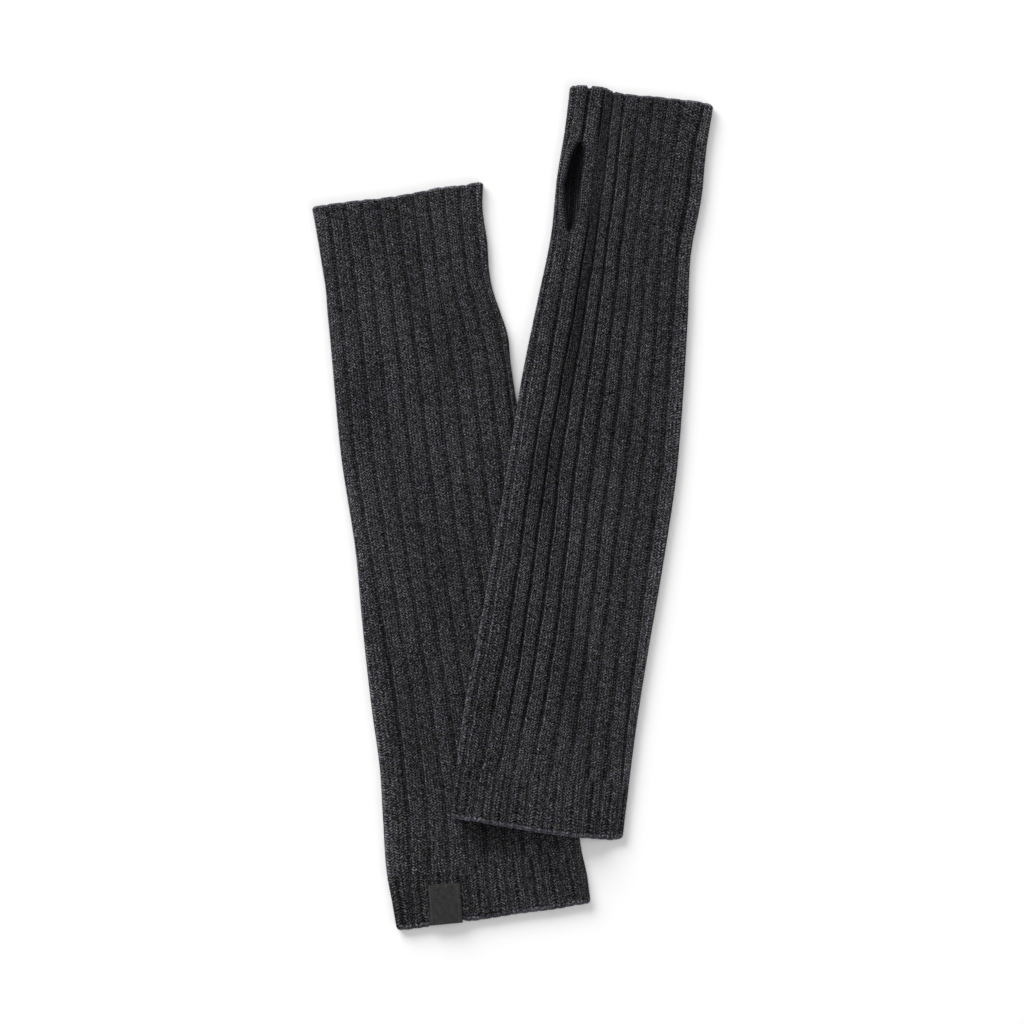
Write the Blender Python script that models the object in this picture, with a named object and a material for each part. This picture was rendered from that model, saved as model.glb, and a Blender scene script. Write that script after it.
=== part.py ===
"""A pair of rib-knitted arm warmers laid flat, one partly over the other.

Each warmer is a knitted tube: a body in 2x2 rib, a welt in 1x1 rib at the
elbow end, and a thumb slit near the hand end. It lies flat, so it is built as
two layers, a front (upper) panel and a back (lower) panel, which meet along
the side folds. The over warmer lies on the under warmer and slopes down to
the surface beside it.

Units are metres. +Z is up and the pair lies on z = 0. +Y runs from the elbow
ends to the hand ends. The origin is under the middle of the pair.

On each warmer a "station" is the distance from its elbow hem, "across" is the
distance from its centre line, and a "place" counts ribs from the left: groove
number 4 is at place 4, and the rib to its right is centred on place 4.5.
"""
import math
from collections import namedtuple

import bmesh
import bpy
import numpy as np

MM = 0.001
TOLERANCE = 0.001 * MM

# The knitted wall
WALL = 1.9 * MM           # one layer, without its ribs
RIB_RISE = 0.9 * MM       # how far a rib stands above the wall
FOLD_INNER = 0.2 * MM     # radius inside a side fold
SEAM_GAP = 0.3 * MM       # between pieces that meet or lie on each other
FOLD_RADIUS = FOLD_INNER + WALL
MID_HEIGHT = SEAM_GAP / 2 + FOLD_RADIUS      # height of the line where the layers meet
LAID_HEIGHT = 2 * MID_HEIGHT + RIB_RISE      # a flat warmer, over its ribs

# Rib patterns: (place in the repeat, height as a share of RIB_RISE) of the four
# points that draw one repeat. Two wales stand up in the body, every other one
# in the welt.
BODY_RIB = ((-0.12, 0), (0.12, 0), (0.32, 1), (0.68, 1))
WELT_RIB = ((0.00, 0), (0.25, 1), (0.50, 0), (0.75, 1))

WELT_LENGTH = 28 * MM
WELT_BLEND = 3 * MM       # half the length over which one rib becomes the other
HEM_ROUNDING = 1.2 * MM   # how far a hem draws in at its corners
HEM_SQUARENESS = 8        # how near its corners it starts to
HEM_REACH = 14 * MM       # how far into the cloth a hem's waves are felt
HEM_ROW = 3 * MM          # the row of cloth next to a hem
ROW_SPACING = 16 * MM

# The thumb slit, along a groove
SLIT_LENGTH = 48 * MM
SLIT_FROM_HAND_HEM = 28.5 * MM
SLIT_OUTER_BULGE = 3.4 * MM    # how far its side near the fold is pushed out
SLIT_INNER_BULGE = 2.8 * MM    # and its other side
SLIT_REACH = 18 * MM           # how far across the inner push is felt
SLIT_FULLNESS = 0.8            # below 1, its ends are blunter
SLIT_ROWS = 8

# How the over warmer slopes from the under warmer to the surface
SLOPE_WIDTH = 16 * MM
SLOPE_START = 1 * MM

# The label
LABEL_WIDTH = 18 * MM
LABEL_LENGTH = 20.3 * MM
LABEL_THICKNESS = 0.5 * MM
LABEL_CENTRE = -24.5 * MM      # across the under warmer
LABEL_COLUMNS = 6
LABEL_ROWS = 6

# lean: degrees anticlockwise from +Y. places: the places of the columns of the
# sections, edge to edge. elbow_hem, hand_hem: the waves of the hems. slit: the
# panel that has it and its place there. creases: the ribs that are drawn down
# between their neighbours.
Warmer = namedtuple(
    "Warmer", "length elbow lean places sections elbow_hem hand_hem slit creases"
)
Slit = namedtuple("Slit", "panel place fold_side")
Crease = namedtuple("Crease", "place half_width start full drop")

UNDER = Warmer(
    length=393 * MM,
    elbow=(-9.4 * MM, -221.3 * MM),
    lean=7.6,
    places=(0.15, 1, 6, 10, 10.6),
    sections=(
        # station, left edge, groove 1, groove 6, groove 10, right edge (mm)
        (0, -52.6, -43.8, 9.2, 49.6, 51.6),
        (28, -54.0, -42.5, 9.6, 47.5, 52.0),
        (60, -52.4, -39.5, 10.2, 46.2, 51.2),
        (120, -50.3, -38.2, 8.0, 45.0, 50.3),
        (200, -48.0, -41.0, 6.2, 44.0, 49.4),
        (260, -48.7, -42.6, 6.6, 44.6, 48.8),
        (295, -47.4, -41.0, 7.2, 44.3, 48.4),
        (310, -47.0, -40.4, 7.0, 43.2, 48.5),
        (322, -46.5, -40.0, 6.8, 41.8, 46.9),
        (334, -46.1, -39.6, 6.9, 39.6, 44.0),
        (346, -45.4, -39.2, 7.0, 38.0, 43.3),
        (370, -46.0, -39.3, 7.0, 39.2, 44.1),
        (393, -46.9, -39.4, 6.6, 40.4, 46.2),
    ),
    # across, shift towards the hand end (mm)
    elbow_hem=((-50, -0.2), (35, 0.0), (50, 0.8)),
    hand_hem=((-46, 0.6), (-20, -0.3), (12, 0.0), (26, 1.2), (46, 1.8)),
    slit=Slit(panel="back", place=9.5, fold_side=1),
    creases=(Crease(place=10.3, half_width=0.5, start=205 * MM, full=260 * MM, drop=0.5 * MM),),
)
OVER = Warmer(
    length=400 * MM,
    elbow=(15.2 * MM, -174.3 * MM),
    lean=-7.78,
    places=(-0.3, 1, 2, 3, 8, 9, 9.9),
    sections=(
        # station, left edge, groove 1, groove 2, groove 3, groove 8, groove 9, right edge (mm)
        (0, -47.6, -37.2, -27.0, -18.5, 31.0, 40.5, 44.5),
        (28, -49.0, -36.4, -27.2, -18.8, 30.0, 40.2, 44.0),
        (60, -49.1, -34.4, -25.2, -17.2, 29.2, 38.4, 43.7),
        (95, -47.2, -32.4, -23.9, -15.7, 28.2, 37.7, 44.3),
        (150, -45.0, -31.5, -23.5, -15.6, 27.2, 37.0, 46.6),
        (200, -43.4, -31.3, -23.3, -16.6, 27.5, 37.2, 47.0),
        (240, -42.5, -29.9, -21.8, -15.5, 26.5, 34.9, 45.0),
        (285, -39.8, -28.9, -19.6, -14.1, 23.8, 32.3, 41.4),
        (318, -37.8, -28.0, -19.2, -13.9, 21.4, 30.8, 38.4),
        (350, -38.3, -29.6, -19.2, -14.0, 21.2, 31.5, 39.4),
        (375, -38.0, -29.0, -20.3, -14.8, 21.3, 31.6, 39.1),
        (400, -38.2, -29.0, -20.4, -15.2, 22.0, 34.0, 38.9),
    ),
    elbow_hem=((-46, 0.0), (-35, 1.6), (-17, 0.6), (0, -1.2), (25, -1.2), (44, 0.6)),
    hand_hem=((-38, 1.2), (-18, 1.5), (-10, -0.4), (3, -0.4), (20, 0.6), (38, 1.4)),
    slit=Slit(panel="front", place=1, fold_side=-1),
    creases=(Crease(place=2.5, half_width=0.5, start=150 * MM, full=270 * MM, drop=0.9 * MM),),
)


def smooth_step(value):
    """Rise smoothly from 0 to 1 as value goes from 0 to 1."""
    value = min(max(value, 0.0), 1.0)
    return value * value * (3 - 2 * value)


def smooth_curve(xs, ys, x):
    """Read a smooth curve through the points (xs, ys) at x."""
    slopes = np.gradient(ys, xs)
    x = min(max(x, xs[0]), xs[-1])
    i = min(int(np.searchsorted(xs, x, side="right")) - 1, len(xs) - 2)
    span = xs[i + 1] - xs[i]
    t = (x - xs[i]) / span
    return (
        (1 + 2 * t) * (1 - t) ** 2 * ys[i]
        + t * (1 - t) ** 2 * span * slopes[i]
        + t * t * (3 - 2 * t) * ys[i + 1]
        + t * t * (t - 1) * span * slopes[i + 1]
    )


def section_at(warmer, station):
    """The across distance of each of the warmer's named places at a station."""
    table = np.array(warmer.sections) * MM
    return [smooth_curve(table[:, 0], table[:, i], station) for i in range(1, table.shape[1])]


def to_world(warmer, across, station):
    """World x and y of a point given on a warmer."""
    lean = math.radians(warmer.lean)
    x = warmer.elbow[0] + across * math.cos(lean) - station * math.sin(lean)
    y = warmer.elbow[1] + across * math.sin(lean) + station * math.cos(lean)
    return x, y


def to_warmer(warmer, x, y):
    """Across distance and station, on a warmer, of a point in the world."""
    lean = math.radians(warmer.lean)
    x, y = x - warmer.elbow[0], y - warmer.elbow[1]
    return x * math.cos(lean) + y * math.sin(lean), y * math.cos(lean) - x * math.sin(lean)


def base_height(warmer, x, y):
    """Height of what the warmer lies on: the surface, or the under warmer."""
    if warmer is UNDER:
        return 0.0
    across, station = to_warmer(UNDER, x, y)
    beyond_edge = across - section_at(UNDER, station)[-1] - SLOPE_START
    return (LAID_HEIGHT + SEAM_GAP) * smooth_step(1 - beyond_edge / SLOPE_WIDTH)


# ---------------------------------------------------------------- panels
# A column of a panel: its place and rib height in the body and in the welt.
Column = namedtuple("Column", "body_place body_rise welt_place welt_rise")
FOLD_SHARES = (0.0, 0.33, 0.66)    # columns round a side fold, from the fold line inwards
PLAIN_COLUMNS = ((0.0,), (0.0, 0.5))    # in each repeat of a back that lies flat, or slopes


def panel_columns(warmer, panel):
    """The columns between a panel's side folds. Only a front panel has ribs."""
    margin = 0.1
    low, high = warmer.places[0] + margin, warmer.places[-1] - margin
    columns = []
    for groove in range(math.floor(low), math.ceil(high) + 1):
        if panel == "front":
            for (body, rise), (welt, welt_rise) in zip(BODY_RIB, WELT_RIB):
                columns.append(Column(groove + body, rise, groove + welt, welt_rise))
        else:
            for share in PLAIN_COLUMNS[warmer is OVER]:
                columns.append(Column(groove + share, 0, groove + share, 0))
    half_groove = BODY_RIB[1][0]
    if warmer.slit.panel == panel and panel == "back":
        for side in (-half_groove, half_groove):
            columns.append(Column(warmer.slit.place + side, 0, warmer.slit.place + side, 0))
        columns.sort()
    return [column for column in columns if low < column.body_place < high]


def slit_stations(warmer):
    end = warmer.length - SLIT_FROM_HAND_HEM
    return end - SLIT_LENGTH, end


def panel_stations(warmer):
    """The rows of a panel, from the elbow hem to the hand hem."""
    slit_start, slit_end = slit_stations(warmer)
    stations = [0, HEM_ROW, WELT_LENGTH - WELT_BLEND, WELT_LENGTH + WELT_BLEND]
    steps = math.ceil((slit_start - stations[-1]) / ROW_SPACING)
    stations += list(np.linspace(stations[-1], slit_start, steps, endpoint=False)[1:])
    turns = np.linspace(0, math.pi, SLIT_ROWS + 1)
    stations += list(slit_start + SLIT_LENGTH * (1 - np.cos(turns)) / 2)
    stations += [slit_end + SLIT_FROM_HAND_HEM / 2, warmer.length - HEM_ROW, warmer.length]
    return stations


def slit_push(warmer, across, section, place, station):
    """How far a point beside the slit is moved sideways by its opening."""
    start, _ = slit_stations(warmer)
    along = (station - start) / SLIT_LENGTH
    if not 0 < along < 1:
        return 0.0
    opening = math.sin(math.pi * along) ** SLIT_FULLNESS
    line = float(np.interp(warmer.slit.place, warmer.places, section))
    side = warmer.slit.fold_side
    edge = section[-1] if side > 0 else section[0]
    if (place - warmer.slit.place) * side > 0:
        return side * opening * SLIT_OUTER_BULGE * (edge - across) / (edge - line)
    felt = 1 - abs(across - line) / SLIT_REACH
    return -side * opening * SLIT_INNER_BULGE * max(felt, 0.0)


def crease_drop(warmer, place, station):
    """How far a crease lowers the top of a rib."""
    drop = 0.0
    for crease in warmer.creases:
        beyond = abs(place - crease.place) - crease.half_width / 2
        near = smooth_step(1 - beyond / crease.half_width)
        drop += crease.drop * near * smooth_step((station - crease.start) / (crease.full - crease.start))
    return drop


def arc_from_edge(distance):
    """Length along the cloth from the fold line to a point seen at a distance from the edge."""
    if distance >= FOLD_RADIUS:
        return FOLD_RADIUS * math.pi / 2 + distance - FOLD_RADIUS
    return FOLD_RADIUS * math.acos(1 - distance / FOLD_RADIUS)


def fold_point(arc, rise, inner):
    """Distance from the edge, and height above the fold line, of a point of the wall."""
    angle = min(arc / FOLD_RADIUS, math.pi / 2)
    beyond = max(arc - FOLD_RADIUS * math.pi / 2, 0.0)
    radius = FOLD_INNER if inner else FOLD_RADIUS + rise * math.sin(angle)
    return FOLD_RADIUS - radius * math.cos(angle) + beyond, radius * math.sin(angle)


def panel_profile(warmer, columns, station):
    """Arc from the nearer fold, rise and side of each column at one station."""
    section = section_at(warmer, station)
    left, right = section[0], section[-1]
    to_body = smooth_step((station - WELT_LENGTH + WELT_BLEND) / (2 * WELT_BLEND))
    profile = []
    for column in columns:
        place = column.welt_place + (column.body_place - column.welt_place) * to_body
        rise = column.welt_rise + (column.body_rise - column.welt_rise) * to_body
        across = float(np.interp(place, warmer.places, section))
        across += slit_push(warmer, across, section, place, station)
        side = -1 if across < (left + right) / 2 else 1
        arc = arc_from_edge(across - left if side < 0 else right - across)
        height = rise * RIB_RISE - rise * crease_drop(warmer, place, station)
        profile.append((side, arc, height))
    first, last = profile[0][1], profile[-1][1]
    left_fold = [(-1, first * share, 0.0) for share in FOLD_SHARES]
    right_fold = [(1, last * share, 0.0) for share in reversed(FOLD_SHARES)]
    return left_fold + profile + right_fold, left, right


def hem_shift(warmer, across, left, right, station):
    """How far the wave and the rounded corners of a hem move a point along the warmer."""
    middle, half = (left + right) / 2, (right - left) / 2
    corner = HEM_ROUNDING * abs((across - middle) / half) ** HEM_SQUARENESS
    shift = 0.0
    hems = ((warmer.elbow_hem, station, corner), (warmer.hand_hem, warmer.length - station, -corner))
    for wave, from_hem, corner_shift in hems:
        places, shifts = zip(*wave)
        here = float(np.interp(across / MM, places, shifts)) * MM + corner_shift
        shift += here * smooth_step(1 - from_hem / HEM_REACH)
    return shift


def wall_point(warmer, panel, station, spot, left, right, inner):
    """World position of one point of a panel."""
    side, arc, rise = spot
    distance, height = fold_point(arc, rise, inner)
    across = left + distance if side < 0 else right - distance
    x, y = to_world(warmer, across, station + hem_shift(warmer, across, left, right, station))
    up = 1 if panel == "front" else -1
    return x, y, base_height(warmer, x, y) + MID_HEIGHT + up * (SEAM_GAP / 2 + height)


def layered_mesh(columns, rows, missing=()):
    """A grid of cells and a second layer over it, joined round the edges and holes.

    Returns the mesh and a list of (vertex, column, row, is_second_layer).
    """
    mesh = bmesh.new()
    bmesh.ops.create_grid(mesh, x_segments=columns - 1, y_segments=rows - 1, size=1)

    def cell_of(point):
        return (point.x + 1) / 2 * (columns - 1), (point.y + 1) / 2 * (rows - 1)

    cells = [face for face in mesh.faces if face_index(face, cell_of) in missing]
    bmesh.ops.delete(mesh, geom=cells, context="FACES")
    made = bmesh.ops.extrude_face_region(mesh, geom=mesh.faces[:], use_keep_orig=True)
    second = {item for item in made["geom"] if isinstance(item, bmesh.types.BMVert)}
    spots = []
    for vert in mesh.verts:
        column, row = cell_of(vert.co)
        spots.append((vert, round(column), round(row), vert in second))
    return mesh, spots


def face_index(face, cell_of):
    """Column and row of a grid cell."""
    column, row = cell_of(face.calc_center_median())
    return math.floor(column), math.floor(row)


def make_panel(name, warmer, panel, material):
    columns = panel_columns(warmer, panel)
    stations = panel_stations(warmer)
    missing = set()
    if warmer.slit.panel == panel:
        slit_start, slit_end = slit_stations(warmer)
        before = sum(column.body_place < warmer.slit.place for column in columns)
        strip = len(FOLD_SHARES) + before - 1
        missing = {
            (strip, row)
            for row, station in enumerate(stations[:-1])
            if slit_start - TOLERANCE < station < slit_end - TOLERANCE
        }
    mesh, spots = layered_mesh(len(columns) + 2 * len(FOLD_SHARES), len(stations), missing)
    profiles = [panel_profile(warmer, columns, station) for station in stations]
    for vert, column, row, is_outer in spots:
        profile, left, right = profiles[row]
        vert.co = wall_point(
            warmer, panel, stations[row], profile[column], left, right, inner=not is_outer
        )
    return finish(name, mesh, material)


# ---------------------------------------------------------------- label
def make_label(name, material):
    """A tab that lies on the ribs of the under warmer's welt and turns down over its hem."""
    top = LAID_HEIGHT + SEAM_GAP
    mesh, spots = layered_mesh(LABEL_COLUMNS, LABEL_ROWS)
    flat_rows = LABEL_ROWS - 2
    for vert, column, row, is_outer in spots:
        lift = LABEL_THICKNESS if is_outer else 0.0
        across = LABEL_CENTRE + LABEL_WIDTH * (column / (LABEL_COLUMNS - 1) - 0.5)
        if row > 1:
            station, height = LABEL_LENGTH * (row - 1) / flat_rows, top + lift
        else:
            station = -SEAM_GAP - lift
            height = top + lift if row == 1 else MID_HEIGHT + SEAM_GAP
        x, y = to_world(UNDER, across, station)
        vert.co = x, y, height
    return finish(name, mesh, material)


# ---------------------------------------------------------------- objects
def finish(name, mesh, material):
    bmesh.ops.recalc_face_normals(mesh, faces=mesh.faces)
    data = bpy.data.meshes.new(name)
    mesh.to_mesh(data)
    mesh.free()
    data.materials.append(material)
    thing = bpy.data.objects.new(name, data)
    collection.objects.link(thing)
    return thing


def make_material(name, colour, roughness, sheen):
    material = bpy.data.materials.new(name)
    material.use_nodes = True
    shader = material.node_tree.nodes["Principled BSDF"]
    shader.inputs["Base Color"].default_value = (*colour, 1)
    shader.inputs["Roughness"].default_value = roughness
    shader.inputs["Metallic"].default_value = 0
    shader.inputs["Sheen Weight"].default_value = sheen
    return material


for thing in list(bpy.data.objects):
    bpy.data.objects.remove(thing, do_unlink=True)
collection = bpy.data.collections.new("Knitted_Arm_Warmers")
bpy.context.scene.collection.children.link(collection)

CHARCOAL = (0.027, 0.027, 0.029)
LABEL_GREY = (0.030, 0.030, 0.028)
for warmer_name, warmer in (("under_warmer", UNDER), ("over_warmer", OVER)):
    for panel in ("front", "back"):
        node = f"{warmer_name}_{panel}_panel"
        make_panel(node, warmer, panel, make_material(f"{node}_knit", CHARCOAL, 0.95, 0.3))
make_label("hem_label", make_material("hem_label_weave", LABEL_GREY, 0.7, 0.1))
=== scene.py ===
"""The knitted surface of a pair of arm warmers laid flat, one partly over the other.

Metres, +Z up, the pair on z = 0. +Y runs from the elbow ends to the hand ends.
On each warmer a "station" is the distance from its elbow hem and "across" the
distance from its centre line. A "place" counts ribs from the left: groove
number 4 is at place 4, and the rib to its right is centred on place 4.5.
"""

import math
from collections import namedtuple

import bmesh
import bpy
import numpy as np
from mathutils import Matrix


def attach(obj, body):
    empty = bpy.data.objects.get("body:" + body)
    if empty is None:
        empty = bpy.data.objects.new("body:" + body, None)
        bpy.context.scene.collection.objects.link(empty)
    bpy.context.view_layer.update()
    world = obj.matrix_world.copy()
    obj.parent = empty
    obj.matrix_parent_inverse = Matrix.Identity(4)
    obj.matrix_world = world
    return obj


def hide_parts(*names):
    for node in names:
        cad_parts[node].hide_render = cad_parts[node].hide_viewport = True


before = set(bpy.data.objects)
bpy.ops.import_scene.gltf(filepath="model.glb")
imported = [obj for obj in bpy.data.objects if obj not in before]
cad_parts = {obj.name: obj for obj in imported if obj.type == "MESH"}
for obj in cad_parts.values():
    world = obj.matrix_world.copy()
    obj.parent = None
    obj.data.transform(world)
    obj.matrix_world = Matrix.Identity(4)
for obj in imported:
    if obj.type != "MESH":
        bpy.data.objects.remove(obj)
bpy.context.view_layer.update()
MM = 0.001

# ---------------------------------------------------------------- camera
# Straight above the pair and far off, with a long lens, so that every part of
# it is seen square on.
VIEW_WIDTH = 553 * MM
VIEW_CENTRE = (0.25 * MM, -3.0 * MM)
CAMERA_HEIGHT = 3.2
camera_data = bpy.data.cameras.new("camera")
camera_data.lens = camera_data.sensor_width * CAMERA_HEIGHT / VIEW_WIDTH
camera = bpy.data.objects.new("camera", camera_data)
camera.location = (*VIEW_CENTRE, CAMERA_HEIGHT)
bpy.context.scene.collection.objects.link(camera)
bpy.context.scene.camera = camera

# ---------------------------------------------------------------- under warmer
# A tube of charcoal melange wool, machine-knitted in one piece: a body in 2x2
# rib, a welt in 1x1 rib at the elbow, both ends bound off. Lying flat, it shows
# its front; the front's cloth turns round the side folds to meet the back.
COURSE = 1.5 * MM          # height of one course of stitches
FOLD_RADIUS = 2.25 * MM    # of a side fold, outside
FOLD_INNER = 0.35 * MM     # and inside
WRAP_ANGLE = math.radians(75)    # how far below the fold line the front's cloth turns
WRAP_GAP = math.radians(8)       # from there to where the back's starts
MID_HEIGHT = 2.25 * MM     # height of the fold line
RIB_RISE = 0.9 * MM        # of a rib over the wall
BACK_LIFT = 0.25 * MM      # keeps the back's stitches on the surface
LAID_HEIGHT = 5.4 * MM     # of a flat warmer, over its ribs
LAY_GAP = 0.3 * MM         # between a warmer and what lies on it
SLOPE_START = 1 * MM       # how far past the lower warmer's edge the upper one starts to slope down
SLOPE_WIDTH = 16 * MM

GROOVE_HALF = 0.16         # half the width, in places, of the sunk purl wales
WALE_WIDTH = 0.34          # width, in places, of a knit wale in the rib
CREST = 0.296              # place of a rib's left edge, which stands highest
RIB_FORM = (
    # place from one groove to the next, height (0 in the groove, 1 on the rib), groove's shade
    (0.00, 0.20, 0.6), (0.053, 0.00, 1.0), (0.107, 0.02, 1.1), (0.16, 0.08, 1.1), (0.228, 0.30, 0.9),
    (CREST, 1.08, 0.0), (0.364, 1.00, 0.1), (0.50, 0.94, 0.15), (0.636, 1.00, 0.0),
    (0.704, 0.95, 0.25), (0.772, 1.00, 0.05), (0.84, 0.99, 0.05), (0.893, 0.92, 0.05),
    (0.947, 0.62, 0.12), (1.00, 0.20, 0.6),
)
# A rib's lead is how much sooner, in places, its left edge rises from the groove
LEAD_FORM = ((0.0, 0.0), (0.2, 1.0), (0.7, 0.0), (1.0, 0.0))    # place, share of the lead there
LEAST_SPACING = 0.3        # of a column from a face's edge, as a share of the usual one
WELT_LENGTH = 28 * MM
WELT_BLEND = 3 * MM
WELT_GROOVE = 0.2          # half width, in places, of a welt groove
WELT_DEPTH = 0.95 * MM
GROOVE_FADE = 16 * MM      # over which a groove turns deeper
GROOVE_NEAR = (0.25, 0.75) # places from a groove up to which it sinks in full, and at all
WANDER = 0.16 * MM         # how far the wales wander sideways
WANDER_WAVES = ((7.5 * MM, 1.3, 1.0), (3.4 * MM, -2.1, 0.6))    # length of a radian, turn for a rib, share
WANDER_INSET = 6 * MM      # from the side folds, over which the wandering grows

ARM_RISE = 1.6 * MM        # how far each arm of a stitch climbs from its centre line
PURL_RISE = 0.5 * MM
ARM_RELIEF = 0.17 * MM     # half the height of a row of arms over the next
ARM_FLAT = 0.35            # share of it at the arms' ends
CENTRE_DIP = 0.16 * MM     # how far the lines between the arms lie below them
PURL_RELIEF = 0.10 * MM
TENSION_SHIFT = 0.15 * MM  # unevenness of the stitches, along the warmer and up
TENSION_RISE = 0.035 * MM
STITCH_FADE = 2.5 * MM     # over which the stitches grow next to a bound-off edge
STITCH_LEAST = 0.25        # share of their relief on that edge

HEM_ROLL = 1.7 * MM        # how far from a hem its edge starts to turn down
HEM_BEAD = 0.18 * MM       # extra thickness of the bound-off edge
BEAD_PLACE, BEAD_WIDTH = 1.2 * MM, 0.9 * MM
HEM_SCALLOP = 0.35 * MM    # how far a hem draws in at each groove
HEM_NOTCH = 1.5            # and, for each mm that a groove is deeper, how many mm more
SCALLOP_REACH = 5 * MM
HEM_CORNER = 1.8 * MM
CORNER_POWER = 8           # the higher, the squarer the corner
HEM_INSET = 1.5 * MM       # how far inside its hems the inner side of the cloth starts
INSET_REACH = 6 * MM
HEM_REACH = 14 * MM        # how far from a hem its waves reach
MOUTH_REACH = 32 * MM      # how far from an elbow hem its raised mouth reaches
LOWER_LIFT = 0.2           # how much of the upper layer's lift the lower layer has
EDGE_LEAST = 0.14          # thickness left at the very edge, as a share
LEAST_WALL = 0.3 * MM      # and in the deepest grooves
EDGE_ROWS = (0.0, 0.12 * MM, 0.40 * MM, 0.85 * MM)    # from a hem, closer than the other rows

SLIT_LENGTH = 48 * MM
SLIT_FROM_HAND_HEM = 30 * MM
SLIT_OUTER_BULGE = 3.9 * MM    # how far its side near the fold is pushed out
SLIT_INNER_BULGE = 4.1 * MM    # and its other side
SLIT_BLUNTNESS = (2, 4)    # of its ends, towards the elbow and towards the hand
SLIT_POINTING = 0.4        # how much less the side near the fold is pushed at its ends
POINTING_BEND = 0.7        # the lower, the nearer its middle that starts
SLIT_REACH = 11 * MM       # how far its inner side's push reaches
SLIT_ROLL = 1.5 * MM
ROLL_END = 2 * MM          # how far past the slit's ends the roll reaches
SLIT_LIP = 1.1 * MM        # how far its sides are raised
LIP_REACH = 4 * MM         # width over which that fades
LIP_CREST = 0.2            # and the width raised in full before it, as a share of it
SELVEDGE = 3.2 * MM        # width over which the slit's edge stitches turn into ribs
SELVEDGE_FULL = 0.4        # and the width of all edge stitches before it, as a share of it
SELVEDGE_END = 4 * MM      # how far past the slit's ends they reach
SELVEDGE_TURN = 0.75       # how much less their arms climb
SELVEDGE_PLUMP = 0.5       # how much rounder they are
SELVEDGE_FILL = 0.6        # and how much less the lines between them dip
LIP_SHADE = 0.55           # painted shade towards the edge of the slit
LIP_SHADE_REACH = 1.6 * MM # how far from it
OUTER_SHADE_REACH = 3.4 * MM   # and on the side near the fold, which turns down into the slit
SHADE_END = 1 * MM         # how far past the slit's ends the shade reaches
SLIT_PINCH = 0.7           # how much the groove closes at the slit's ends
PINCH_REACH = 12 * MM
LIP_COLUMNS = 0.1          # how near, in places, the slit's two edge columns are to its line
INNER_STEP = 5             # the hidden inner side has one row and column for these

# Tone is how light the yarn looks for where it lies, mostly painted shade and painted highlights: 1 on a rib
GROOVE_SHADE = 0.40        # painted shade in a groove
DEEP_SHADE = 0.25          # and more painted shade for each mm that a groove is deeper
WELT_TONE = 0.9            # all over the welt
WELT_SHADE = 0.35          # and painted shade in its grooves
CREASE_SHADE = 0.5         # painted shade for each mm that a crease is sunk
CREST_HIGHLIGHT, CREST_WIDTH = 0.3, 0.035            # painted highlight on a rib's left edge, which faces the light
FOLD_HIGHLIGHT, FOLD_HIGHLIGHT_REACH = 0.6, 5 * MM       # painted highlight along the side folds
HEM_HIGHLIGHT = 0.8                                  # painted highlight on the bound-off edges
# where the painted highlight on a bound-off edge lies
RIM_PLACE, RIM_WIDTH = 0.75 * MM, 0.5 * MM
HEM_INNER_HIGHLIGHT, HEM_INNER_HIGHLIGHT_REACH = 0.42, 2.4 * MM        # and a weaker painted highlight a little further in from them
HEM_FUZZ_SHEEN = 0.16            # share of a bound-off edge under the painted pale sheen of standing fibres
HEM_PATCHES = 0.6          # how much more and less painted highlight and fuzz sheen there is from place to place
PATCH_WIDTH = 0.5          # in places
HEMS_APART = 14            # places from the hand hem's patches to the elbow hem's
INSIDE_SHADE_TONES = (0.06, 0.19)    # painted shade inside the tube, towards the hand and towards the elbow
INSIDE_SHADE_PLACES = (0.5, 0.68)    # from one to the other, as shares of the slit's length from its hand end

Warmer = namedtuple(
    "Warmer",
    "length elbow lean places sections elbow_hem hand_hem mouth depth lead grooves creases slit seed",
)
Groove = namedtuple("Groove", "place start end extra")
Crease = namedtuple("Crease", "place half_width start full end drop")
Slit = namedtuple("Slit", "face place fold_side")
Column = namedtuple("Column", "body welt side knit wale")

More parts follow.
